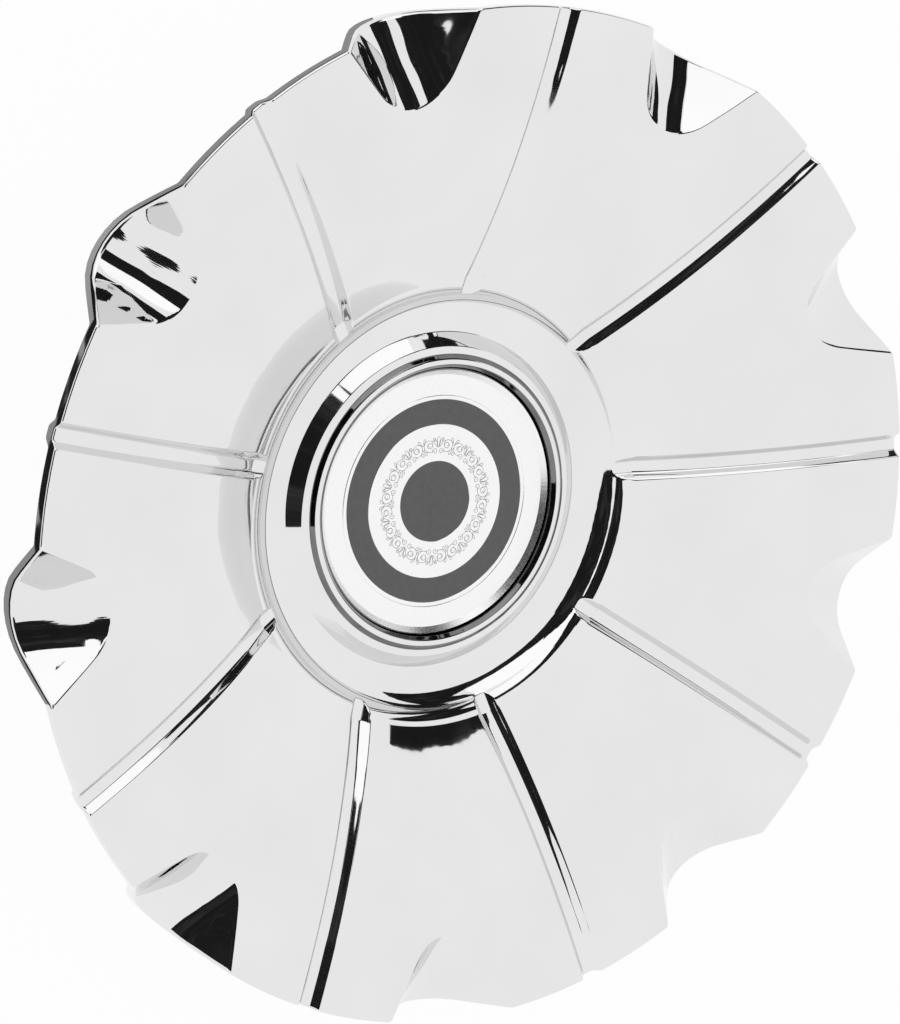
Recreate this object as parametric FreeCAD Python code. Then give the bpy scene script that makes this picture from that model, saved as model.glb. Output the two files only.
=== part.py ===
import FreeCAD, Part
import math
import os

os.makedirs("parts", exist_ok=True)

# Center cap for a car wheel, face up, axis on +Z, millimetres.
# Origin: centre of the foot of the snap collar, so Z = 0 is the foot plane.

# Panels: the radial profile is one cubic about a middle radius
panel_count = 9
rim_radius = 100.0
panel_mid_radius = 70.0
panel_mid_height = 36.0
panel_span = 30.0
panel_rise = 11.889
panel_bow = -3.390
panel_lip = 0.512
shell_drop = 3.0

# Channels between the panels
first_channel_angle = 126.6
channel_half_width = 2.5
channel_floor_half_width = 1.2
channel_depth = 1.75
channel_back_spread = 0.4
channel_wall_run = (channel_half_width - channel_floor_half_width) / channel_depth

# Scallops that fall through the rim in the middle of each panel
scallop_tip_radius = 83.1
scallop_fall_angle = 25.2
scallop_round = 11.0
scallop_wall_angle = 47.3
scallop_lead = 13.0

# Hub: step, dish, valley, ledge, bezel and emblem recess, from outside to inside
dish_outer_radius = 42.3
dish_outer_height = 21.0
step_run = 2.1
panel_inner_radius = dish_outer_radius + step_run
dish_run = 7.8
dish_fall = 3.0
flank_run = 2.6
flank_rise = 2.2
ledge_run = 1.7
ledge_rise = 0.2
bezel_run = 2.3
bezel_rise = 0.45
bezel_shoulder_run = 0.9
bezel_shoulder_rise = 0.3
bezel_edge_run = 0.7
bezel_edge_drop = 0.4
plate_face_height = 18.54
plate_thickness = 1.4
plate_clearance = 0.1

# Back of the hub and snap collar
hub_floor_wall = 2.54
collar_radius = 41.5
collar_wall = 2.6
hub_back_inset = 0.7
collar_overlap = 3.0
barb_height = 1.1
barb_foot_inset = 0.6
barb_lead = 2.4
barb_land = 1.2
barb_back = 0.8
slot_count = 9
slot_width = 2.4
slot_top_height = 12.5

# Spring ring of flat wire
wire_width = 1.8
wire_tall = 2.4
wire_height = 6.4
wire_seat_depth = 0.7
wire_seat_clearance = 0.1
wire_gap_angle = 14.0

# How far cutters run past what they cut
overshoot = 9.0

up = FreeCAD.Vector(0, 0, 1)
origin = FreeCAD.Vector(0, 0, 0)
pitch = 360.0 / panel_count


def vec(x, z):
    return FreeCAD.Vector(x, 0, z)


def panel_height(r):
    u = (r - panel_mid_radius) / panel_span
    return panel_mid_height + panel_rise * u + panel_bow * u * u + panel_lip * u ** 3


# Heights of the four Bezier poles that give the profile cubic between two radii
def profile_heights(r_from, r_to, drop):
    a = (r_from - panel_mid_radius) / panel_span
    w = (r_to - r_from) / panel_span
    level = panel_height(r_from) - drop
    slope = (panel_rise + 2 * panel_bow * a + 3 * panel_lip * a * a) * w
    bend = (panel_bow + 3 * panel_lip * a) * w * w
    twist = panel_lip * w ** 3
    return [level, level + slope / 3, level + (2 * slope + bend) / 3, level + slope + bend + twist]


def profile_curve(r_from, r_to, drop, side=0.0):
    poles = []
    for i, z in enumerate(profile_heights(r_from, r_to, drop)):
        poles.append(FreeCAD.Vector(r_from + (r_to - r_from) * i / 3, side, z))
    curve = Part.BezierCurve()
    curve.setPoles(poles)
    return curve.toShape()


def line(a, b):
    return Part.makeLine(a, b)


def chain(points):
    edges = []
    for a, b in zip(points, points[1:]):
        edges.append(line(a, b))
    return edges


def revolve(edges):
    return Part.Face(Part.Wire(edges)).revolve(origin, up, 360)


def around(shape, angle):
    copy = shape.copy()
    copy.rotate(origin, up, angle)
    return copy


def pattern(shape, offset):
    copies = []
    for i in range(panel_count):
        copies.append(around(shape, first_channel_angle + offset + pitch * i))
    return copies


# Radii and heights of the hub, worked inward from the dish
valley_radius = dish_outer_radius - dish_run
valley_height = dish_outer_height - dish_fall
ledge_outer_radius = valley_radius - flank_run
ledge_height = valley_height + flank_rise
ledge_inner_radius = ledge_outer_radius - ledge_run
bezel_foot_height = ledge_height + ledge_rise
bezel_top_radius = ledge_inner_radius - bezel_run
bezel_top_height = bezel_foot_height + bezel_rise
recess_radius = bezel_top_radius - bezel_edge_run
recess_floor_height = plate_face_height - plate_thickness
hub_back_height = recess_floor_height - hub_floor_wall
collar_inner = collar_radius - collar_wall
hub_back_radius = collar_inner - hub_back_inset


# Solid under the show face, before channels and scallops are cut
def face_body():
    panel_foot = vec(panel_inner_radius, panel_height(panel_inner_radius))
    outside = chain([vec(0, 0), vec(rim_radius, 0), vec(rim_radius, panel_height(rim_radius))])
    panel = profile_curve(rim_radius, panel_inner_radius, 0.0)
    hub = chain([
        panel_foot,
        vec(dish_outer_radius, dish_outer_height),
        vec(valley_radius, valley_height),
        vec(ledge_outer_radius, ledge_height),
        vec(ledge_inner_radius, bezel_foot_height),
        vec(bezel_top_radius + bezel_run - bezel_shoulder_run, bezel_foot_height + bezel_shoulder_rise),
        vec(bezel_top_radius, bezel_top_height),
        vec(recess_radius, bezel_top_height - bezel_edge_drop),
        vec(recess_radius, recess_floor_height),
        vec(0, recess_floor_height),
        vec(0, 0),
    ])
    return revolve(outside + [panel] + hub)


# Solid that hollows the back and leaves the moulded wall
def hollow_body():
    reach = rim_radius + overshoot
    panel_foot = vec(panel_inner_radius, panel_height(panel_inner_radius) - shell_drop)
    rim_top = vec(reach, panel_height(reach) - shell_drop)
    below = -overshoot
    outside = chain([vec(0, below), vec(reach, below), rim_top])
    panel = profile_curve(reach, panel_inner_radius, shell_drop)
    hub = chain([
        panel_foot,
        vec(dish_outer_radius, dish_outer_height - shell_drop),
        vec(hub_back_radius, hub_back_height),
        vec(0, hub_back_height),
        vec(0, below),
    ])
    return revolve(outside + [panel] + hub)


# Channel section across the radius, open upward
def channel_section(r, floor, spread):
    tall = channel_depth + overshoot / 3
    half_low = channel_floor_half_width + spread
    half_high = half_low + channel_wall_run * tall
    low_a = FreeCAD.Vector(r, -half_low, floor)
    low_b = FreeCAD.Vector(r, half_low, floor)
    high_b = FreeCAD.Vector(r, half_high, floor + tall)
    high_a = FreeCAD.Vector(r, -half_high, floor + tall)
    return Part.makePolygon([low_a, low_b, high_b, high_a, low_a])


# Channel cutter: that section swept along the panel profile
def channel_tool(r_from, spread):
    r_to = rim_radius + overshoot
    tall = channel_depth + overshoot / 3
    half_low = channel_floor_half_width + spread
    half_high = half_low + channel_wall_run * tall
    rails = []
    for side, drop in ((-half_low, 0.0), (half_low, 0.0), (half_high, tall), (-half_high, tall)):
        rails.append(profile_curve(r_from, r_to, channel_depth - drop, side))
    faces = []
    for i in range(4):
        faces.append(Part.makeRuledSurface(rails[i], rails[(i + 1) % 4]))
    for r in (r_from, r_to):
        faces.append(Part.Face(channel_section(r, panel_height(r) - channel_depth, spread)))
    skin = Part.makeShell(faces)
    skin.sewShape()
    solid = Part.Solid(skin)
    if solid.Volume < 0:
        solid.reverse()
    return solid


# Short run-out that opens a channel through the step into the dish
def channel_mouth(r_from):
    reach = step_run / 2
    floor = panel_height(r_from) - channel_depth
    fall = (floor - dish_outer_height) / (r_from - dish_outer_radius)
    wires = []
    for r in (r_from + reach / 5, dish_outer_radius - reach):
        wires.append(channel_section(r, floor + fall * (r - r_from), 0.0))
    return Part.makeLoft(wires, True, True)


# Scallop cutter: a round-bottomed trough along a line that falls outward
def scallop_tool():
    fall = math.radians(scallop_fall_angle)
    wall = math.radians(scallop_wall_angle)
    side = scallop_round * math.sin(wall)
    lift = scallop_round * (1.0 - math.cos(wall))
    tall = rim_radius / 2
    wide = side + (tall - lift) / math.tan(wall)
    turn_a = FreeCAD.Vector(0, -side, lift)
    turn_b = FreeCAD.Vector(0, side, lift)
    top_a = FreeCAD.Vector(0, -wide, tall)
    top_b = FreeCAD.Vector(0, wide, tall)
    bottom = Part.Arc(turn_a, origin, turn_b).toShape()
    section = Part.Face(Part.Wire([bottom] + chain([turn_b, top_b, top_a, turn_a])))
    length = scallop_lead + rim_radius - scallop_tip_radius + 2 * overshoot
    trough = section.extrude(FreeCAD.Vector(length, 0, 0))
    trough.translate(FreeCAD.Vector(-scallop_lead, 0, 0))
    trough.rotate(origin, FreeCAD.Vector(0, 1, 0), math.degrees(fall))
    trough.translate(vec(scallop_tip_radius, panel_height(scallop_tip_radius)))
    return trough


# Show face: panels, channels and scallops
channel_start = panel_inner_radius + step_run * 0.75
trough = scallop_tool()
face_tools = pattern(channel_tool(channel_start, 0.0), 0.0)
face_tools += pattern(channel_mouth(channel_start), 0.0)
face_tools += pattern(trough, pitch / 2)
face_solid = face_body().cut(face_tools)

# Back: the same cuts, lowered by the wall, so the moulding keeps its thickness
lower = FreeCAD.Vector(0, 0, -shell_drop)
back_channel = channel_tool(channel_start, channel_back_spread)
back_channel.translate(lower)
back_trough = trough.copy()
back_trough.translate(lower)
back_solid = hollow_body().cut(pattern(back_channel, 0.0) + pattern(back_trough, pitch / 2))
shell = face_solid.cut(back_solid)

# Snap collar with barbed fingers and a seat for the spring ring
seat_radius = collar_inner + wire_seat_depth
seat_low = wire_height - wire_tall / 2 - wire_seat_clearance
seat_high = wire_height + wire_tall / 2 + wire_seat_clearance
barb_top = barb_lead + barb_land
collar_top = hub_back_height + collar_overlap
collar = revolve(chain([
    vec(collar_inner, 0),
    vec(collar_radius - barb_foot_inset, 0),
    vec(collar_radius + barb_height, barb_lead),
    vec(collar_radius + barb_height, barb_top),
    vec(collar_radius, barb_top + barb_back),
    vec(collar_radius, collar_top),
    vec(collar_inner, collar_top),
    vec(collar_inner, seat_high),
    vec(seat_radius, seat_high),
    vec(seat_radius, seat_low),
    vec(collar_inner, seat_low),
    vec(collar_inner, 0),
]))
slot_depth = collar_wall + barb_height + 2 * overshoot
slot = Part.makeBox(slot_depth, slot_width, slot_top_height + overshoot)
slot.translate(FreeCAD.Vector(collar_inner - overshoot, -slot_width / 2, -overshoot))
slots = []
for i in range(slot_count):
    slots.append(around(slot, first_channel_angle + pitch / 2 + i * 360.0 / slot_count))
collar = collar.cut(slots)

cap_shell = shell.fuse(collar).removeSplitter()
cap_shell.exportStep("parts/cap_shell.step")

# Emblem disc seated in the hub recess
plate_radius = recess_radius - plate_clearance
emblem_plate = Part.makeCylinder(plate_radius, plate_thickness, vec(0, recess_floor_height))
emblem_plate.exportStep("parts/emblem_plate.step")

# Split ring that springs the fingers outward
wire_inner = seat_radius - wire_width
wire_low = wire_height - wire_tall / 2
wire_high = wire_height + wire_tall / 2
wire_face = Part.Face(Part.makePolygon([
    vec(wire_inner, wire_low),
    vec(seat_radius, wire_low),
    vec(seat_radius, wire_high),
    vec(wire_inner, wire_high),
    vec(wire_inner, wire_low),
]))
retaining_ring = wire_face.revolve(origin, up, 360.0 - wire_gap_angle)
retaining_ring.rotate(origin, up, first_channel_angle + wire_gap_angle / 2)
retaining_ring.exportStep("parts/retaining_ring.step")

for name, shape in (("cap_shell", cap_shell), ("emblem_plate", emblem_plate), ("retaining_ring", retaining_ring)):
    print(name, shape.isValid(), len(shape.Solids), round(shape.Volume, 1))
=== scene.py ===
"""A chrome wheel center cap with nine panels round a recessed hub, dressed for its photograph."""

import math

import bpy
import numpy as np
from mathutils import Matrix, Vector


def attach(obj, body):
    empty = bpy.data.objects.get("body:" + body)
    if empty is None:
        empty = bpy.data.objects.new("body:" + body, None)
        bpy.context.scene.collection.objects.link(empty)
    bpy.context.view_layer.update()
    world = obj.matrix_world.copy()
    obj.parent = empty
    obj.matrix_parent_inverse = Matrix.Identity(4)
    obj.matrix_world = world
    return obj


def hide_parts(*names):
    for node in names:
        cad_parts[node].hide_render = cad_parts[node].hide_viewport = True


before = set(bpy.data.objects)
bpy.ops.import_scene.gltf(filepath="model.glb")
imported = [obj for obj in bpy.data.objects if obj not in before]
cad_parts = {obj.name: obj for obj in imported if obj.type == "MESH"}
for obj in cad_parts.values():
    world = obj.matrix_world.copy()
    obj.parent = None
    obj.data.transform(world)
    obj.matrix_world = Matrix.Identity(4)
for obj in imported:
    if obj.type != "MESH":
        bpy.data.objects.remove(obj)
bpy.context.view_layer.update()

# The part's sizes are in millimetres, and MM turns them into the frame's metres.
MM = 0.001

# The face: nine panels on one dished curve.
panel_count = 9
rim_radius = 100.0
panel_mid_radius = 70.0
panel_mid_height = 36.0
panel_span = 30.0
panel_rise = 11.889
panel_bow = -3.390
panel_lip = 0.512
shell_drop = 3.0
rim_round = 0.7
rim_back_round = 0.4

# The channels between the panels.
first_channel_angle = math.radians(126.6)
channel_half_width = 2.5
channel_floor_half_width = 1.2
channel_depth = 1.75
channel_edge_blend = 0.32
channel_foot_round = 0.25

# The scallops that break the rim in the middle of each panel.
scallop_tip_radius = 83.1
scallop_fall = math.radians(25.2)
scallop_round = 11.0
scallop_wall = math.radians(47.3)
scallop_edge_blend = 0.5

# The hub, from the step at the panels' inner ends to the emblem's recess.
dish_outer_radius = 42.3
dish_outer_height = 21.0
step_run = 2.1
panel_inner_radius = dish_outer_radius + step_run
channel_start_radius = panel_inner_radius + 0.75 * step_run
sweep_start_radius = 36.6
sweep_start_angle = math.radians(6.0)
sweep_steep_radius = 42.5
sweep_steep_angle = math.radians(58.0)
sweep_end_radius = 45.0
sweep_end_angle = math.radians(20.0)
valley_radius = 34.4
ledge_outer_radius = 31.6
ledge_outer_height = 19.75
ledge_inner_radius = 30.2
ledge_inner_height = 20.1
bezel_shoulder_radius = 29.1
bezel_top_radius = 28.2
bezel_top_height = 20.85
bezel_foot_height = 19.9
recess_radius = 27.2
bezel_inner_radius = 27.45
plate_face_height = 18.54
plate_thickness = 1.4
plate_clearance = 0.1
hub_back_height = 14.6
hub_back_radius = 40.8
hub_back_round = 0.3
hub_back_lean = 0.3

# The hub's small roundings, and the groove at the bezel's foot.
bezel_inner_round = 0.2
bezel_top_round = 0.7
bezel_shoulder_round = 1.0
groove_width = 0.2
groove_round = 0.12
ledge_inner_round = 0.1
ledge_outer_round = 0.8
valley_round = 0.9

# The snap collar on the back, in fingers between slots.
collar_radius = 41.5
collar_inner_radius = 38.9
collar_top_height = 17.4
slot_top_height = 12.5
slot_width = 2.4
barb_radius = 42.6
barb_foot_inset = 0.6
barb_lead = 2.4
barb_land = 1.2
barb_back = 0.8
wire_seat_radius = 39.6
wire_height = 6.4
wire_tall = 2.4
wire_seat_clearance = 0.1
collar_overlap = 0.01
collar_bevel = 0.15
collar_bevel_segments = 2
collar_bevel_angle = math.radians(25)

# The mesh: columns across a channel and across a scallop's edge, steps of the roundings, rows of the back.
channel_columns = (0.0, 0.75, 1.05, 1.3, 1.6, 2.0, 2.3, 2.5, 2.75, 3.2)
edge_columns = (-1.2, -0.6, -0.3, -0.1, 0.1, 0.3, 0.6, 1.2)
panel_gaps = 5
bowl_gaps = 6
profile_steps = 7
rim_steps = 6
rim_back_steps = 3
back_scallop_radii = (98.5, 97.0, 95.0, 92.5, 90.0, 87.5, 85.5, 84.2, 83.1, 82.0)
back_panel_radii = (79.0, 70.0, 58.0, 49.0)
collar_steps = 144
finger_steps = 16
normal_step = 0.02
scallop_samples = 400
scallop_least_reach = 2.0

# The bezel's bands painted darker as shade, as rows of faces: its inner wall, and the groove at its foot.
painted_shade_rows = ((0, 12), (22, 32))

sector = 2.0 * math.pi / panel_count


def panel_height(radius):
    """Height of the panels' dished curve."""
    u = (radius - panel_mid_radius) / panel_span
    return panel_mid_height + panel_rise * u + panel_bow * u ** 2 + panel_lip * u ** 3


def soft_lower(a, b, blend):
    """The lower of two heights, with the edge between them rounded."""
    share = np.clip(0.5 + 0.5 * (b - a) / blend, 0.0, 1.0)
    return b * (1.0 - share) + a * share - blend * share * (1.0 - share)


def soft_ramp(x, width):
    """Zero below x = 0 and x above it, eased over a width."""
    return 0.5 * (x + np.sqrt(x * x + width * width))


def from_line(x, y, first_angle):
    """Distance along and across the nearest of nine spokes, the first at an angle."""
    radius = np.hypot(x, y)
    turn = (np.arctan2(y, x) - first_angle + 0.5 * sector) % sector - 0.5 * sector
    return radius * np.cos(turn), radius * np.sin(turn)


def channel_height(x, y):
    """Height of the channel's trough, which runs out into the dish at its inner end."""
    along, across = from_line(x, y, first_channel_angle)
    start_floor = panel_height(channel_start_radius) - channel_depth
    mouth_slope = (start_floor - dish_outer_height) / (channel_start_radius - dish_outer_radius)
    mouth = start_floor + mouth_slope * (along - channel_start_radius)
    floor = np.where(along > channel_start_radius, panel_height(along) - channel_depth, mouth)
    wall_slope = channel_depth / (channel_half_width - channel_floor_half_width)
    return floor + wall_slope * soft_ramp(np.abs(across) - channel_floor_half_width, channel_foot_round)


def scallop_height(x, y):
    """Height of the scallop, a round trough that falls outward to the rim."""
    along, across = from_line(x, y, first_channel_angle + 0.5 * sector)
    across = np.abs(across)
    reach = scallop_round * math.sin(scallop_wall)
    lift = scallop_round * (1.0 - math.cos(scallop_wall))
    inside = np.minimum(across, reach)
    bowl = scallop_round - np.sqrt(scallop_round ** 2 - inside ** 2)
    section = np.where(across < reach, bowl, lift + (across - reach) * math.tan(scallop_wall))
    line = panel_height(scallop_tip_radius) - math.tan(scallop_fall) * (along - scallop_tip_radius)
    return line + section / math.cos(scallop_fall)


def arc_sine(radius, start_radius, start_angle, end_radius, end_angle):
    """Sine of the slope on an arc that turns evenly between two slopes."""
    share = (np.clip(radius, start_radius, end_radius) - start_radius) / (end_radius - start_radius)
    return math.sin(start_angle) + share * (math.sin(end_angle) - math.sin(start_angle))


def arc_rise(radius, start_radius, start_angle, end_radius, end_angle):
    """Rise along such an arc, up to a radius."""
    size = (end_radius - start_radius) / (math.sin(end_angle) - math.sin(start_angle))
    sine = arc_sine(radius, start_radius, start_angle, end_radius, end_angle)
    return size * (math.cos(start_angle) - np.sqrt(1.0 - sine ** 2))


hollow = (sweep_start_radius, sweep_start_angle, sweep_steep_radius, sweep_steep_angle)
shoulder = (sweep_steep_radius, sweep_steep_angle, sweep_end_radius, sweep_end_angle)
sweep_start_height = float(
    panel_height(sweep_end_radius)
    - arc_rise(sweep_steep_radius, *hollow)
    - arc_rise(sweep_end_radius, *shoulder)
)
valley_height = sweep_start_height - (sweep_start_radius - valley_radius) * math.tan(sweep_start_angle)


def sweep_height(radius):
    """The dish: a hollow that sweeps up and a shoulder that rolls over to the panels."""
    rise = arc_rise(radius, *hollow) + arc_rise(radius, *shoulder)
    return sweep_start_height + rise


def face_height(x, y):
    """Height of the whole front face, from the dish outward."""
    radius = np.hypot(x, y)
    height = np.where(radius < sweep_end_radius, sweep_height(radius), panel_height(radius))
    height = soft_lower(height, channel_height(x, y), channel_edge_blend)
    return soft_lower(height, scallop_height(x, y), scallop_edge_blend)


def face_normal(x, y):
    """Upward normal of the front face."""
    step = normal_step
    slope_x = (face_height(x + step, y) - face_height(x - step, y)) / (2.0 * step)
    slope_y = (face_height(x, y + step) - face_height(x, y - step)) / (2.0 * step)
    normal = np.stack([-slope_x, -slope_y, np.ones_like(slope_x)], axis=-1)
    return normal / np.linalg.norm(normal, axis=-1, keepdims=True)


def scallop_half_angle(radius):
    """Half the angle that the scallop takes up on a circle of this radius."""
    turns = np.linspace(0.0, 0.5 * sector, scallop_samples)
    middle = first_channel_angle + 0.5 * sector
    x = radius * np.cos(middle + turns)
    y = radius * np.sin(middle + turns)
    inside = scallop_height(x, y) < panel_height(radius)
    least = scallop_least_reach / radius
    return max(least, turns[inside].max() if inside.any() else 0.0)


def half_sector_angles(radius):
    """Angles from a channel's middle to the scallop's middle, close together at the edges."""
    channel_turns = np.arcsin(np.array(channel_columns) / radius)
    edge_turn = 0.5 * sector - scallop_half_angle(radius)
    edge_turns = edge_turn + np.array(edge_columns) / radius
    panel_turns = np.linspace(channel_turns[-1], edge_turns[0], panel_gaps + 1)[1:-1]
    bowl_turns = np.linspace(edge_turns[-1], 0.5 * sector, bowl_gaps + 1)[1:]
    return np.concatenate([channel_turns, panel_turns, edge_turns, bowl_turns])


def ring_angles(radius):
    """Angles of all the columns on a circle of this radius."""
    half = half_sector_angles(max(radius, sweep_start_radius))
    one = np.concatenate([half, sector - half[-2:0:-1]])
    return np.concatenate([first_channel_angle + k * sector + one for k in range(panel_count)])


def rounded_profile(points, steps):
    """Points and normals along a profile of (radius, height, rounding), walked outward, up on the left."""
    places = []
    normals = []
    corners = [np.array(point[:2]) for point in points]
    for i, point in enumerate(points):
        rounding = point[2]
        here = corners[i]
        before = here - corners[i - 1] if i > 0 else corners[1] - here
        after = corners[i + 1] - here if i < len(points) - 1 else before
        before_unit = before / np.linalg.norm(before)
        after_unit = after / np.linalg.norm(after)
        turn = math.atan2(
            before_unit[0] * after_unit[1] - before_unit[1] * after_unit[0], before_unit @ after_unit
        )
        reach = rounding * math.tan(abs(turn) / 2.0)
        for k in range(steps + 1):
            share = k / steps
            start = here - before_unit * reach
            end = here + after_unit * reach
            place = (1 - share) ** 2 * start + 2 * share * (1 - share) * here + share ** 2 * end
            angle = share * turn
            tangent = np.array([
                before_unit[0] * math.cos(angle) - before_unit[1] * math.sin(angle),
                before_unit[0] * math.sin(angle) + before_unit[1] * math.cos(angle),
            ])
            places.append(place)
            normals.append((-tangent[1], tangent[0]))
            if rounding == 0.0:
                break
    return places, normals


def revolve_row(radius, height, normal, angles):
    """One circle of vertices with its normals."""
    cos = np.cos(angles)
    sin = np.sin(angles)
    places = np.stack([radius * cos, radius * sin, np.full_like(cos, height)], axis=-1)
    normals = np.stack([normal[0] * cos, normal[0] * sin, np.full_like(cos, normal[1])], axis=-1)
    return places, normals


def hub_rows():
    """Rows from the emblem's recess out to the dish."""
    points = [
        (recess_radius, plate_face_height - plate_thickness, 0.0),
        (bezel_inner_radius, bezel_foot_height, bezel_inner_round),
        (bezel_top_radius, bezel_top_height, bezel_top_round),
        (bezel_shoulder_radius, bezel_top_height, bezel_shoulder_round),
        (ledge_inner_radius - groove_width, bezel_foot_height, groove_round),
        (ledge_inner_radius, ledge_inner_height, ledge_inner_round),
        (ledge_outer_radius, ledge_outer_height, ledge_outer_round),
        (valley_radius, valley_height, valley_round),
        (sweep_start_radius, sweep_start_height, 0.0),
    ]
    places, normals = rounded_profile(points, profile_steps)
    angles = ring_angles(sweep_start_radius)
    return [revolve_row(p[0], p[1], n, angles) for p, n in zip(places, normals)]


def face_rows():
    """Rows over the dish, the panels and the scallops, close together where the face turns."""
    radii = np.concatenate([
        np.linspace(sweep_start_radius + 0.4, panel_inner_radius + 0.6, 30),
        np.linspace(panel_inner_radius + 0.9, channel_start_radius + 1.5, 6),
        np.linspace(channel_start_radius + 4.0, scallop_tip_radius - 2.0, 14),
        np.linspace(scallop_tip_radius - 1.2, scallop_tip_radius + 1.2, 17),
        np.linspace(scallop_tip_radius + 1.6, rim_radius - rim_round, 24),
    ])
    rows = []
    for radius in radii:
        angles = ring_angles(radius)
        x = radius * np.cos(angles)
        y = radius * np.sin(angles)
        rows.append((np.stack([x, y, face_height(x, y)], axis=-1), face_normal(x, y)))
    return rows


def rim_rows():
    """Rows round the rim's edge and down its wall."""
    angles = ring_angles(rim_radius)
    outward = np.stack([np.cos(angles), np.sin(angles), np.zeros_like(angles)], axis=-1)
    rows = []
    for turn in np.linspace(0.0, 0.5 * math.pi, rim_steps + 1)[1:]:
        radius = rim_radius - rim_round * (1.0 - math.sin(turn))
        x = radius * np.cos(angles)
        y = radius * np.sin(angles)
        height = face_height(x, y) - rim_round * (1.0 - math.cos(turn))
        normal = face_normal(x, y) * math.cos(turn) + outward * math.sin(turn)
        rows.append((np.stack([x, y, height], axis=-1), normal))
    x = rim_radius * np.cos(angles)
    y = rim_radius * np.sin(angles)
    foot = face_height(x, y) - shell_drop
    for turn in np.linspace(0.0, 0.5 * math.pi, rim_back_steps + 1):
        radius = rim_radius - rim_back_round * (1.0 - math.cos(turn))
        lift = rim_back_round * (1.0 - math.sin(turn))
        x = radius * np.cos(angles)
        y = radius * np.sin(angles)
        normal = outward * math.cos(turn) - face_normal(x, y) * math.sin(turn)
        rows.append((np.stack([x, y, foot + lift], axis=-1), normal))
    return rows


def back_rows():
    """Rows over the hollow back, in to the hub."""
    radii = [*back_scallop_radii, *back_panel_radii, channel_start_radius]
    radii += [panel_inner_radius + 0.3, panel_inner_radius - 0.4]
    radii += [dish_outer_radius + 0.8, dish_outer_radius]
    rows = []
    for radius in radii:
        angles = ring_angles(radius)
        x = radius * np.cos(angles)
        y = radius * np.sin(angles)
        rows.append((np.stack([x, y, face_height(x, y) - shell_drop], axis=-1), -face_normal(x, y)))
    angles = ring_angles(sweep_start_radius)
    corner_normal = (hub_back_lean, -1.0)
    rows.append(revolve_row(hub_back_radius, hub_back_height + hub_back_round, corner_normal, angles))
    rows.append(revolve_row(hub_back_radius - hub_back_round, hub_back_height, (0.0, -1.0), angles))
    return rows


def mesh_object(name, vertices, faces, normals=None):
    """A smooth-shaded object from millimetre vertices."""
    mesh = bpy.data.meshes.new(name)
    mesh.from_pydata([tuple(v) for v in np.asarray(vertices) * MM], [], faces)
    mesh.polygons.foreach_set("use_smooth", [True] * len(mesh.polygons))
    if normals is not None:
        normals = np.asarray(normals)
        normals = normals / np.linalg.norm(normals, axis=-1, keepdims=True)
        mesh.normals_split_custom_set_from_vertices([tuple(n) for n in normals])
    obj = bpy.data.objects.new(name, mesh)
    bpy.context.scene.collection.objects.link(obj)
    return obj


def loft_faces(row_count, column_count):
    """Quads between neighbouring rows, closed round the circle."""
    faces = []
    for i in range(row_count - 1):
        for j in range(column_count):
            k = (j + 1) % column_count
            low = i * column_count
            high = low + column_count
            faces.append((low + j, high + j, high + k, low + k))
    return faces


def cap_body(plating, shade_material):
    """The plated shell: hub, panels, rim and hollow back in one closed skin."""
    rows = hub_rows() + face_rows() + rim_rows() + back_rows()
    column_count = len(rows[0][0])
    vertices = np.concatenate([row[0] for row in rows])
    normals = np.concatenate([row[1] for row in rows])
    faces = loft_faces(len(rows), column_count)
    recess_centre = len(vertices)
    back_centre = recess_centre + 1
    last = (len(rows) - 1) * column_count
    for j in range(column_count):
        k = (j + 1) % column_count
        faces.append((recess_centre, j, k))
        faces.append((back_centre, last + k, last + j))
    recess_floor = plate_face_height - plate_thickness
    vertices = np.concatenate([vertices, [(0.0, 0.0, recess_floor), (0.0, 0.0, hub_back_height)]])
    normals = np.concatenate([normals, [(0.0, 0.0, 1.0), (0.0, 0.0, -1.0)]])
    obj = mesh_object("cap_body", vertices, faces, normals)
    # The bezel's inner wall and the groove at its foot take the darker material: painted shade.
    indices = np.zeros(len(faces), dtype=np.int32)
    for first_row, end_row in painted_shade_rows:
        indices[first_row * column_count:end_row * column_count] = 1
    obj.data.materials.append(plating)
    obj.data.materials.append(shade_material)
    obj.data.polygons.foreach_set("material_index", indices)
    return obj


def collar_section(bottom):
    """Section of the collar from its top down to a height, as (radius, height) points."""
    if bottom > 0.0:
        return [
            (collar_inner_radius, collar_top_height),
            (collar_inner_radius, bottom),
            (collar_radius, bottom),
            (collar_radius, collar_top_height),
        ]
    seat_low = wire_height - 0.5 * wire_tall - wire_seat_clearance
    seat_high = wire_height + 0.5 * wire_tall + wire_seat_clearance
    return [
        (collar_inner_radius, slot_top_height),
        (collar_inner_radius, seat_high),
        (wire_seat_radius, seat_high),
        (wire_seat_radius, seat_low),
        (collar_inner_radius, seat_low),
        (collar_inner_radius, 0.0),
        (collar_radius - barb_foot_inset, 0.0),
        (barb_radius, barb_lead),
        (barb_radius, barb_lead + barb_land),
        (collar_radius, barb_lead + barb_land + barb_back),
        (collar_radius, slot_top_height),
    ]


def swept_section(section, start, end, steps, closed):
    """Vertices and faces of a section swept round the axis."""
    count = len(section)
    stations = steps if closed else steps + 1
    vertices = []
    for i in range(stations):
        angle = start + (end - start) * i / steps
        vertices += [(r * math.cos(angle), r * math.sin(angle), z) for r, z in section]
    faces = []
    for i in range(steps):
        near = i * count
        far = ((i + 1) % stations) * count
        for j in range(count):
            k = (j + 1) % count
            faces.append((near + j, near + k, far + k, far + j))
    if not closed:
        faces.append(tuple(range(count - 1, -1, -1)))
        faces.append(tuple((stations - 1) * count + j for j in range(count)))
    return vertices, faces


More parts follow.
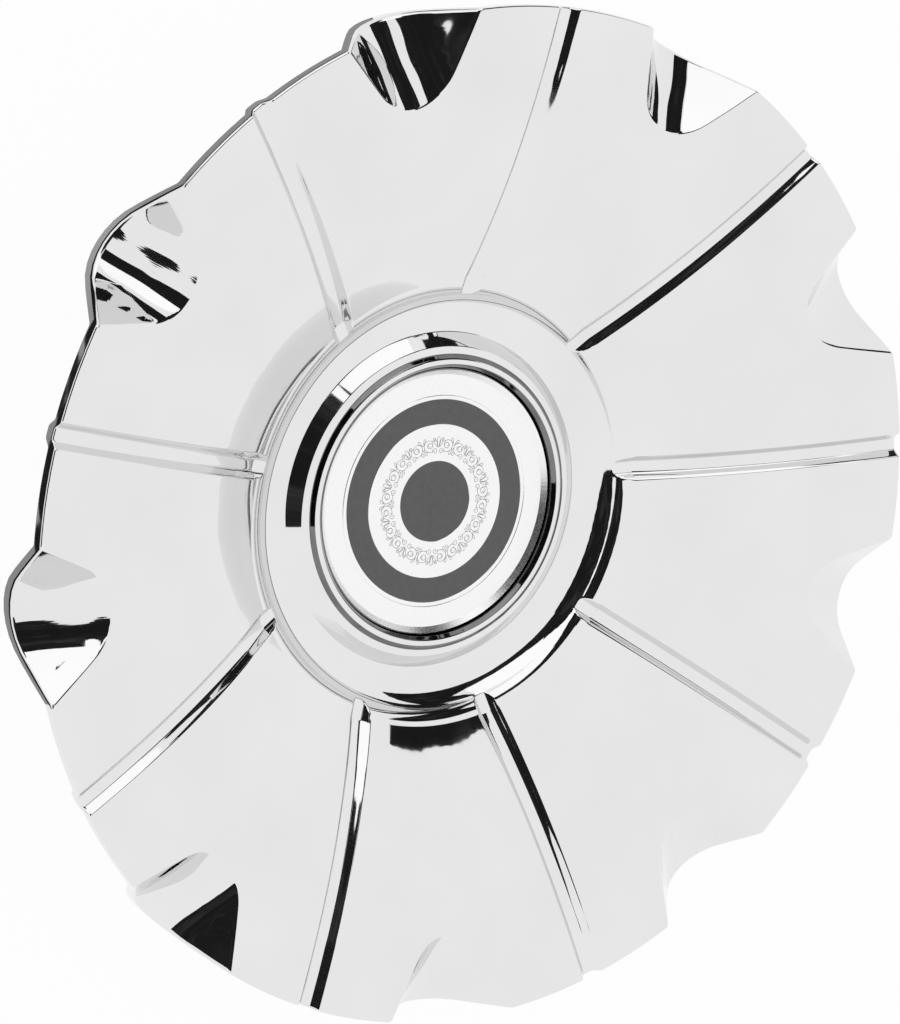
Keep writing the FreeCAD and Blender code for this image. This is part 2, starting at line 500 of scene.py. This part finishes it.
def snap_collar(plating):
    """The collar: a whole band under the hub, and barbed fingers between the slots."""
    band = collar_section(slot_top_height - collar_overlap)
    vertices, faces = swept_section(band, 0.0, 2 * math.pi, collar_steps, True)
    half_slot = 0.5 * slot_width / collar_radius
    first_slot = first_channel_angle + 0.5 * sector
    for k in range(panel_count):
        start = first_slot + k * sector + half_slot
        end = first_slot + (k + 1) * sector - half_slot
        more, more_faces = swept_section(collar_section(0.0), start, end, finger_steps, False)
        offset = len(vertices)
        vertices += more
        faces += [tuple(offset + v for v in face) for face in more_faces]
    obj = mesh_object("snap_collar", vertices, faces)
    obj.data.materials.append(plating)
    rounding = obj.modifiers.new("edges", "BEVEL")
    rounding.width = collar_bevel * MM
    rounding.segments = collar_bevel_segments
    rounding.limit_method = "ANGLE"
    rounding.angle_limit = collar_bevel_angle
    rounding.harden_normals = True
    return obj


# The emblem's plain rings, as radii.
dark_disc_radius = 8.28
dark_ring_inner = 15.67
dark_ring_outer = 20.80
fine_line_radius = 21.6
fine_line_width = 0.22
enamel_drop = 0.08
plate_edge_round = 0.25
plate_lip_run = 1.3
plate_lip_rise = 0.9
enamel_edge = 0.08
disc_middle_radius = 0.6
disc_columns = 192


def emblem_disc(metal, dark):
    """The emblem's disc, with dark enamel sunk in a ring and a round field."""
    top = plate_face_height
    floor = top - enamel_drop
    outer = recess_radius - plate_clearance
    bands = [
        (disc_middle_radius, floor, 1),
        (dark_disc_radius - enamel_edge, floor, 1),
        (dark_disc_radius, top, 0),
        (dark_ring_inner, top, 0),
        (dark_ring_inner + enamel_edge, floor, 1),
        (dark_ring_outer - enamel_edge, floor, 1),
        (dark_ring_outer, top, 0),
        (fine_line_radius - fine_line_width / 2, top, 0),
        (fine_line_radius, floor, 1),
        (fine_line_radius + fine_line_width / 2, top, 0),
        (outer - plate_lip_run, top, 0),
        (outer - plate_edge_round, top + plate_lip_rise, 0),
        (outer, top + plate_lip_rise - plate_edge_round, 0),
        (outer, top - plate_thickness, 0),
    ]
    column_count = disc_columns
    angles = np.linspace(0.0, 2 * math.pi, column_count, endpoint=False)
    vertices = []
    faces = [tuple(range(column_count))]
    indices = [1]
    for i, (radius, height, kind) in enumerate(bands):
        vertices += [(radius * math.cos(a), radius * math.sin(a), height) for a in angles]
        if i == 0:
            continue
        for j in range(column_count):
            k = (j + 1) % column_count
            low = (i - 1) * column_count
            high = i * column_count
            faces.append((low + j, high + j, high + k, low + k))
            indices.append(1 if kind == 1 and bands[i - 1][2] == 1 else 0)
    last = (len(bands) - 1) * column_count
    faces.append(tuple(last + j for j in range(column_count - 1, -1, -1)))
    indices.append(0)
    obj = mesh_object("emblem_disc", vertices, faces)
    obj.data.materials.append(metal)
    obj.data.materials.append(dark)
    obj.data.polygons.foreach_set("material_index", indices)
    obj.data.polygons.foreach_set("use_smooth", [False] * len(faces))
    return obj


# The scroll border round the dark field.
scroll_count = 10
scroll_mid_radius = 11.4
scroll_line = 0.055
spiral_points = 10
spiral_points_a_turn = 16
leaf_points = 13
scroll_pitch = 2.0 * math.pi * scroll_mid_radius / scroll_count


def spiral(middle, start_size, end_size, start_angle, turns):
    """A spiral in the band's own plane: first along the band, then outward across it, in millimetres."""
    points = []
    count = spiral_points + int(spiral_points_a_turn * abs(turns))
    for i in range(count):
        share = i / (count - 1.0)
        size = start_size + (end_size - start_size) * share
        angle = start_angle + turns * 2.0 * math.pi * share
        points.append((middle[0] + size * math.cos(angle), middle[1] + size * math.sin(angle)))
    return points


def leaf(root, lean, length, width):
    """A pointed leaf, out along its lean and back."""
    points = []
    for i in range(leaf_points):
        share = i / (leaf_points - 1.0)
        out = length * math.sin(math.pi * share)
        side = width * math.sin(2.0 * math.pi * share)
        points.append((
            root[0] + out * math.sin(lean) + side * math.cos(lean),
            root[1] + out * math.cos(lean) - side * math.sin(lean),
        ))
    return points


def scroll_motif():
    """One repeat of the border: paired scrolls, smaller curls under them, and a fan of leaves between."""
    lines = []
    for way in (1, -1):
        up = 0.5 * math.pi
        lines.append(spiral((way * 1.45, 0.25), 0.25, 1.5, up, way * 1.6))
        lines.append(spiral((way * 1.5, 0.2), 0.2, 0.75, -up, -way * 0.9))
        lines.append(spiral((way * 2.75, -1.15), 0.12, 0.72, up, way * 1.3))
        lines.append(spiral((way * 0.5, -1.35), 0.1, 0.5, up, -way * 1.2))
        lines.append(spiral((way * 2.6, 1.3), 0.1, 0.5, -up, -way * 1.2))
        lines.append(leaf((way * 0.2, 0.7), way * 0.5, 1.2, 0.2))
        lines.append(leaf((way * 3.3, -0.3), -way * 0.35, 1.7, 0.28))
    lines.append(leaf((0.0, -0.9), 0.0, 1.5, 0.25))
    lines.append(leaf((0.5 * scroll_pitch, -0.4), 0.0, 2.2, 0.32))
    return lines


def scroll_band(line_material):
    """A fine border of traditional scrolls and leaves round the dark field."""
    curve = bpy.data.curves.new("scroll_band", "CURVE")
    curve.dimensions = "3D"
    curve.bevel_depth = scroll_line * MM
    curve.bevel_resolution = 0
    curve.resolution_u = 2
    for k in range(scroll_count):
        for line in scroll_motif():
            spline = curve.splines.new("NURBS")
            spline.points.add(len(line) - 1)
            for point, (along, outward) in zip(spline.points, line):
                turn = (k * scroll_pitch + along) / scroll_mid_radius
                radius = scroll_mid_radius + outward
                x = radius * math.cos(turn)
                y = radius * math.sin(turn)
                point.co = (x * MM, y * MM, plate_face_height * MM, 1.0)
            spline.order_u = 3
            spline.use_endpoint_u = True
    obj = bpy.data.objects.new("scroll_band", curve)
    bpy.context.scene.collection.objects.link(obj)
    curve.materials.append(line_material)
    return obj


def new_material(name):
    """A node material with its parts at hand: nodes, links, Principled shader and coordinates."""
    material = bpy.data.materials.new(name)
    material.use_nodes = True
    nodes = material.node_tree.nodes
    shader = nodes["Principled BSDF"]
    place = nodes.new("ShaderNodeTexCoord")
    return material, nodes, material.node_tree.links, shader, place


def noise(nodes, links, place, scale, detail):
    """Noise in the object's own metres."""
    node = nodes.new("ShaderNodeTexNoise")
    node.inputs["Scale"].default_value = scale
    node.inputs["Detail"].default_value = detail
    links.new(place.outputs["Object"], node.inputs["Vector"])
    return node


# Where a noise's tones begin and end.
ramp_start = 0.3
ramp_end = 0.7
dark_ramp_start = 0.5


def ramp(nodes, links, source, low, high):
    """A source from 0 to 1 turned into a colour or grey between two values."""
    node = nodes.new("ShaderNodeValToRGB")
    node.color_ramp.elements[0].color = (*low, 1.0)
    node.color_ramp.elements[1].color = (*high, 1.0)
    node.color_ramp.elements[0].position = ramp_start
    node.color_ramp.elements[1].position = ramp_end
    links.new(source, node.inputs["Fac"])
    return node


def grey(value):
    """A grey as three equal parts."""
    return (value, value, value)


def tone_and_gloss(nodes, links, shader, tone_source, tones, gloss_source, glosses):
    """The shader's colour and roughness, each between two greys by a noise."""
    tone = ramp(nodes, links, tone_source.outputs["Fac"], grey(tones[0]), grey(tones[1]))
    links.new(tone.outputs["Color"], shader.inputs["Base Color"])
    gloss = ramp(nodes, links, gloss_source.outputs["Fac"], grey(glosses[0]), grey(glosses[1]))
    links.new(gloss.outputs["Color"], shader.inputs["Roughness"])


# The plating's waviness: waves to the metre, their height, and the panels' share of it.
wave_scale = 90.0
wave_detail = 0.6
wave_height = 0.5
panel_wave_share = 0.12
wave_start_radius = scallop_tip_radius - 1.0
wave_full_radius = scallop_tip_radius + 3.0


def scallop_share(nodes, links, place):
    """How wavy the plating is: a little on the panels, and most in the scallops."""
    flat = nodes.new("ShaderNodeVectorMath")
    flat.operation = "MULTIPLY"
    flat.inputs[1].default_value = (1.0, 1.0, 0.0)
    links.new(place.outputs["Object"], flat.inputs[0])
    reach = nodes.new("ShaderNodeVectorMath")
    reach.operation = "LENGTH"
    links.new(flat.outputs["Vector"], reach.inputs[0])
    share = nodes.new("ShaderNodeMapRange")
    share.inputs["From Min"].default_value = wave_start_radius * MM
    share.inputs["From Max"].default_value = wave_full_radius * MM
    share.inputs["To Min"].default_value = panel_wave_share
    share.inputs["To Max"].default_value = 1.0
    links.new(reach.outputs["Value"], share.inputs["Value"])
    return share.outputs["Result"]


def chrome_material():
    """Bright chrome plate over moulded plastic, with the faint waviness that plating shows."""
    material, nodes, links, shader, place = new_material("chrome_plate")
    shader.inputs["Metallic"].default_value = 1.0
    clouds = noise(nodes, links, place, 45.0, 3.0)
    smudges = noise(nodes, links, place, 160.0, 5.0)
    tone_and_gloss(nodes, links, shader, clouds, (0.775, 0.805), smudges, (0.02, 0.05))
    waves = noise(nodes, links, place, wave_scale, wave_detail)
    bump = nodes.new("ShaderNodeBump")
    bump.inputs["Distance"].default_value = wave_height * MM
    links.new(scallop_share(nodes, links, place), bump.inputs["Strength"])
    links.new(waves.outputs["Fac"], bump.inputs["Height"])
    links.new(bump.outputs["Normal"], shader.inputs["Normal"])
    return material


def bezel_shade_material():
    """The bezel's inner wall and foot groove in a dark grey metal, painted shade, darker than the chrome
    round it.
    """
    material, nodes, links, shader, place = new_material("bezel_painted_shade")
    shader.inputs["Metallic"].default_value = 1.0
    clouds = noise(nodes, links, place, 220.0, 4.0)
    # Painted shade: a dark grey tone stands in for the shade on the bezel's inner wall and in its groove.
    tone_and_gloss(nodes, links, shader, clouds, (0.17, 0.23), clouds, (0.03, 0.06))
    return material


def engraved_material():
    """Fine engraved line, a soft grey in the silver."""
    material, nodes, links, shader, place = new_material("engraved_line")
    shader.inputs["Metallic"].default_value = 1.0
    grain = noise(nodes, links, place, 900.0, 3.0)
    tone_and_gloss(nodes, links, shader, grain, (0.36, 0.5), grain, (0.3, 0.4))
    return material


def silver_material():
    """The emblem's bright satin metal."""
    material, nodes, links, shader, place = new_material("emblem_silver")
    shader.inputs["Metallic"].default_value = 1.0
    grain = noise(nodes, links, place, 900.0, 4.0)
    tone_and_gloss(nodes, links, shader, grain, (0.905, 0.925), grain, (0.24, 0.28))
    return material


def enamel_material():
    """The emblem's dark grey enamel."""
    material, nodes, links, shader, place = new_material("emblem_enamel")
    grain = noise(nodes, links, place, 700.0, 4.0)
    tone_and_gloss(nodes, links, shader, grain, (0.075, 0.09), grain, (0.3, 0.42))
    return material


def steel_material():
    """Spring wire with a fine drawn grain."""
    material, nodes, links, shader, place = new_material("spring_steel")
    shader.inputs["Metallic"].default_value = 1.0
    drawn = noise(nodes, links, place, 1800.0, 3.0)
    tone = ramp(nodes, links, drawn.outputs["Fac"], (0.42, 0.42, 0.43), (0.55, 0.55, 0.56))
    links.new(tone.outputs["Color"], shader.inputs["Base Color"])
    gloss = ramp(nodes, links, drawn.outputs["Fac"], grey(0.25), grey(0.4))
    links.new(gloss.outputs["Color"], shader.inputs["Roughness"])
    bump = nodes.new("ShaderNodeBump")
    bump.inputs["Strength"].default_value = 0.15
    bump.inputs["Distance"].default_value = 0.1 * MM
    links.new(drawn.outputs["Fac"], bump.inputs["Height"])
    links.new(bump.outputs["Normal"], shader.inputs["Normal"])
    return material


chrome = chrome_material()
bezel = bezel_shade_material()
engraved = engraved_material()
silver = silver_material()
enamel = enamel_material()
steel = steel_material()

body = cap_body(chrome, bezel)
collar = snap_collar(chrome)
for piece in (body, collar):
    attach(piece, "root")
    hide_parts("cap_shell")

disc = emblem_disc(silver, enamel)
scroll = scroll_band(engraved)
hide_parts("emblem_plate")
for piece in (disc, scroll):
    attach(piece, "root")

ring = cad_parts["retaining_ring"]
ring.data.materials.clear()
ring.data.materials.append(steel)

# The studio: how far the floor reaches, its own grey, how white it is seen, and the world's fill.
floor_reach = 3.0
floor_grey = 0.8
floor_roughness = 0.9
floor_glow_share = 0.96
world_fill = 0.75


def seen_as_background(nodes, links, share):
    """A share for rays that see the background: camera, glossy and transmission rays."""
    path = nodes.new("ShaderNodeLightPath")
    total = path.outputs["Is Camera Ray"]
    for name in ("Is Glossy Ray", "Is Transmission Ray"):
        add = nodes.new("ShaderNodeMath")
        add.operation = "MAXIMUM"
        links.new(total, add.inputs[0])
        links.new(path.outputs[name], add.inputs[1])
        total = add.outputs["Value"]
    scaled = nodes.new("ShaderNodeMath")
    scaled.operation = "MULTIPLY"
    scaled.inputs[1].default_value = share
    links.new(total, scaled.inputs[0])
    return scaled.outputs["Value"]


def studio_floor():
    """A plain white floor, which keeps a soft shadow and is clear from below."""
    size = floor_reach
    mesh = bpy.data.meshes.new("floor")
    corners = [(-size, -size, 0.0), (size, -size, 0.0), (size, size, 0.0), (-size, size, 0.0)]
    mesh.from_pydata(corners, [], [(0, 1, 2, 3)])
    obj = bpy.data.objects.new("floor", mesh)
    bpy.context.scene.collection.objects.link(obj)
    material = bpy.data.materials.new("floor_white")
    material.use_nodes = True
    nodes = material.node_tree.nodes
    links = material.node_tree.links
    shader = nodes["Principled BSDF"]
    shader.inputs["Base Color"].default_value = (*grey(floor_grey), 1.0)
    shader.inputs["Roughness"].default_value = floor_roughness
    glow = nodes.new("ShaderNodeEmission")
    glow.inputs["Strength"].default_value = 1.0
    mix = nodes.new("ShaderNodeMixShader")
    seen = seen_as_background(nodes, links, floor_glow_share)
    links.new(seen, mix.inputs["Fac"])
    links.new(shader.outputs["BSDF"], mix.inputs[1])
    links.new(glow.outputs["Emission"], mix.inputs[2])
    side = nodes.new("ShaderNodeNewGeometry")
    clear = nodes.new("ShaderNodeBsdfTransparent")
    one_sided = nodes.new("ShaderNodeMixShader")
    links.new(side.outputs["Backfacing"], one_sided.inputs["Fac"])
    links.new(mix.outputs["Shader"], one_sided.inputs[1])
    links.new(clear.outputs["BSDF"], one_sided.inputs[2])
    links.new(one_sided.outputs["Shader"], nodes["Material Output"].inputs["Surface"])
    mesh.materials.append(material)


def studio_world():
    """A white surround for what the camera and the chrome see, and a plain fill for the rest."""
    world = bpy.data.worlds.new("studio")
    bpy.context.scene.world = world
    world.use_nodes = True
    nodes = world.node_tree.nodes
    links = world.node_tree.links
    fill = nodes["Background"]
    fill.inputs["Color"].default_value = (1.0, 1.0, 1.0, 1.0)
    fill.inputs["Strength"].default_value = world_fill
    white = nodes.new("ShaderNodeBackground")
    white.inputs["Color"].default_value = (1.0, 1.0, 1.0, 1.0)
    white.inputs["Strength"].default_value = 1.0
    mix = nodes.new("ShaderNodeMixShader")
    links.new(seen_as_background(nodes, links, 1.0), mix.inputs["Fac"])
    links.new(fill.outputs["Background"], mix.inputs[1])
    links.new(white.outputs["Background"], mix.inputs[2])
    links.new(mix.outputs["Shader"], nodes["World Output"].inputs["Surface"])


def flat_material(name, strength):
    """A card's even white light."""
    material = bpy.data.materials.new(name)
    material.use_nodes = True
    nodes = material.node_tree.nodes
    glow = nodes.new("ShaderNodeEmission")
    glow.inputs["Strength"].default_value = strength
    material.node_tree.links.new(glow.outputs["Emission"], nodes["Material Output"].inputs["Surface"])
    return material


def dark_material(name, low, high, scale):
    """A dark or grey surface that the chrome sees, a little uneven."""
    material = bpy.data.materials.new(name)
    material.use_nodes = True
    nodes = material.node_tree.nodes
    links = material.node_tree.links
    place = nodes.new("ShaderNodeTexCoord")
    clouds = noise(nodes, links, place, scale, 4.0)
    tone = ramp(nodes, links, clouds.outputs["Fac"], grey(low), grey(high))
    tone.color_ramp.elements[0].position = dark_ramp_start
    glow = nodes.new("ShaderNodeEmission")
    links.new(tone.outputs["Color"], glow.inputs["Color"])
    links.new(glow.outputs["Emission"], nodes["Material Output"].inputs["Surface"])
    return material


def reflection_only(obj):
    """The camera doesn't see a card, and it casts no shade: it shows in the chrome alone."""
    obj.visible_camera = False
    obj.visible_diffuse = False
    obj.visible_shadow = False
    obj.visible_transmission = False


# The tent's cards: their distances in metres, the waver of their edges in degrees, and the points,
# in the part's millimetres, that they are measured from.
card_distance = 3.0
edge_distance = 0.36
panel_distance = 6.0
card_ragged = 0.5
fine_ragged = 0.2
card_edge_steps = 10
cap_middle = (0.0, 0.0, panel_mid_height)
hub_side = (20.0, -35.0, 20.0)
long_wave = (0.8, 0.6)
short_wave = (1.7, -1.3)
short_wave_share = 0.5


def sky_card(name, corners, material, distance, ragged, eye):
    """A card on a dome round an eye point, its corners in degrees of azimuth and from straight up."""
    vertices = []
    count = len(corners)
    steps = card_edge_steps
    for i in range(count):
        start = np.array(corners[i], dtype=float)
        end = np.array(corners[(i + 1) % count], dtype=float)
        for k in range(steps):
            azimuth, zenith = start + (end - start) * k / steps
            wave = math.sin(long_wave[0] * azimuth + long_wave[1] * zenith)
            wave += short_wave_share * math.sin(short_wave[0] * azimuth + short_wave[1] * zenith)
            zenith += ragged * wave
            turn = math.radians(azimuth)
            fall = math.radians(zenith)
            vertices.append((
                distance * math.sin(fall) * math.cos(turn) + eye[0] * MM,
                distance * math.sin(fall) * math.sin(turn) + eye[1] * MM,
                distance * math.cos(fall) + eye[2] * MM,
            ))
    mesh = bpy.data.meshes.new(name)
    mesh.from_pydata(vertices, [], [tuple(range(len(vertices)))])
    mesh.materials.append(material)
    obj = bpy.data.objects.new(name, mesh)
    bpy.context.scene.collection.objects.link(obj)
    reflection_only(obj)


# The tent's opening in three dark cards, and the tent's brighter panel behind them.
camera_side = [
    (120, 31), (135, 28), (160, 27), (185, 28), (198, 34), (205, 46), (203, 62), (199, 73), (180, 74),
    (160, 74), (145, 75), (137, 75), (131.5, 72), (127.5, 69.5), (121, 62), (114, 57), (121, 48), (125, 40),
]
far_side = [
    (32, 59), (39, 52.8), (45, 49.6), (53, 45.6), (60, 43), (66, 42), (72, 43), (74, 47), (69, 56),
    (65, 66), (72, 71), (78, 80), (72, 88), (62, 86), (52, 78), (45, 72), (38, 66),
]
opening_edge = [
    (64, 42.2), (70, 40.8), (82, 37.5), (92, 36), (104, 35.5), (114, 35), (124, 34), (127, 44), (117, 57),
    (106, 52), (101, 49), (91, 48), (79, 50), (72, 55),
]
bright_panel = [
    (70, 60), (75, 46), (88, 39), (104, 37), (122, 38), (140, 50), (168, 66), (168, 88), (120, 88),
    (82, 88), (76, 72),
]

# The room's dark beyond the tent's opening, used again as painted floor shade in the far strip.
room_dark_and_floor_shade = dark_material("room_dark_and_floor_shade", 0.012, 0.035, 2.2)
tent_light = flat_material("tent_light", 1.22)
sky_card("camera_side", camera_side, room_dark_and_floor_shade, card_distance, card_ragged, cap_middle)
sky_card("far_side", far_side, room_dark_and_floor_shade, card_distance, fine_ragged, cap_middle)
sky_card("opening_edge", opening_edge, room_dark_and_floor_shade, edge_distance, fine_ragged, hub_side)
sky_card("bright_panel", bright_panel, tent_light, panel_distance, 0.0, cap_middle)

# Painted floor shade by the near rim, which the chrome alone shows: two strips on the floor, between two
# azimuths in degrees.
shade_strip_start = 97.0
shade_strip_end = 204.0
shade_strip_inner_radius = 101.0
shade_strip_join_radius = 123.0
shade_strip_outer_radius = 230.0
shade_strip_height = 0.5
shade_strip_steps = 48


def floor_shade_strip(name, inner, outer, material):
    """A strip on the floor round the near side of the rim, painted shade for the chrome to show."""
    vertices = []
    for i in range(shade_strip_steps + 1):
        turn = math.radians(shade_strip_start + (shade_strip_end - shade_strip_start) * i / shade_strip_steps)
        for radius in (inner, outer):
            vertices.append((radius * math.cos(turn), radius * math.sin(turn), shade_strip_height))
    faces = [(2 * i, 2 * i + 1, 2 * i + 3, 2 * i + 2) for i in range(shade_strip_steps)]
    obj = mesh_object(name, vertices, faces)
    obj.data.materials.append(material)
    reflection_only(obj)


# Painted shade: a mid grey strip next to the rim, and a dark one beyond it.
floor_shade_grey = dark_material("floor_shade_grey", 0.3, 0.5, 12.0)
floor_shade_strip("near_floor_shade", shade_strip_inner_radius, shade_strip_join_radius, floor_shade_grey)
floor_shade_strip("far_floor_shade", shade_strip_join_radius, shade_strip_outer_radius, room_dark_and_floor_shade)

studio_floor()
studio_world()

# The camera of the photograph, which looks at the panels' middle height on the axis.
image_height = 1024.0
view_tilt = math.radians(36.683)
view_turn = math.radians(-20.277)
view_distance = 0.59209
focal_pixels = 3031.2
aim_pixel = (483.97, 519.50)
middle_pixel = (450.0, 512.0)
sensor_height = 36.0
view_reach = 20.0

camera_data = bpy.data.cameras.new("photo_camera")
camera = bpy.data.objects.new("photo_camera", camera_data)
bpy.context.scene.collection.objects.link(camera)
bpy.context.scene.camera = camera
tilt_axis = Vector((-math.sin(view_turn), math.cos(view_turn), 0.0))
to_camera = Matrix.Rotation(view_tilt, 3, tilt_axis)
facing = to_camera.transposed()
aim = Vector((0.0, 0.0, panel_mid_height * MM))
stand = aim + facing @ Vector((0.0, 0.0, view_distance))
camera.matrix_world = Matrix.Translation(stand) @ facing.to_4x4()
camera_data.sensor_fit = "VERTICAL"
camera_data.sensor_height = sensor_height
camera_data.lens = sensor_height * focal_pixels / image_height
camera_data.shift_x = (middle_pixel[0] - aim_pixel[0]) / image_height
camera_data.shift_y = (aim_pixel[1] - middle_pixel[1]) / image_height
camera_data.clip_end = view_reach

# One soft lamp overhead, which the chrome doesn't show.
lamp_width = 1.2
lamp_power = 5.0
lamp_place = (-0.3, 0.5, 1.5)

lamp_data = bpy.data.lights.new("softbox", "AREA")
lamp_data.shape = "DISK"
lamp_data.size = lamp_width
lamp_data.energy = lamp_power
lamp = bpy.data.objects.new("softbox", lamp_data)
bpy.context.scene.collection.objects.link(lamp)
lamp.location = lamp_place
lamp.rotation_euler = (aim - lamp.location).to_track_quat("-Z", "Y").to_euler()
lamp.visible_glossy = False

bpy.context.scene.view_settings.view_transform = "Standard"
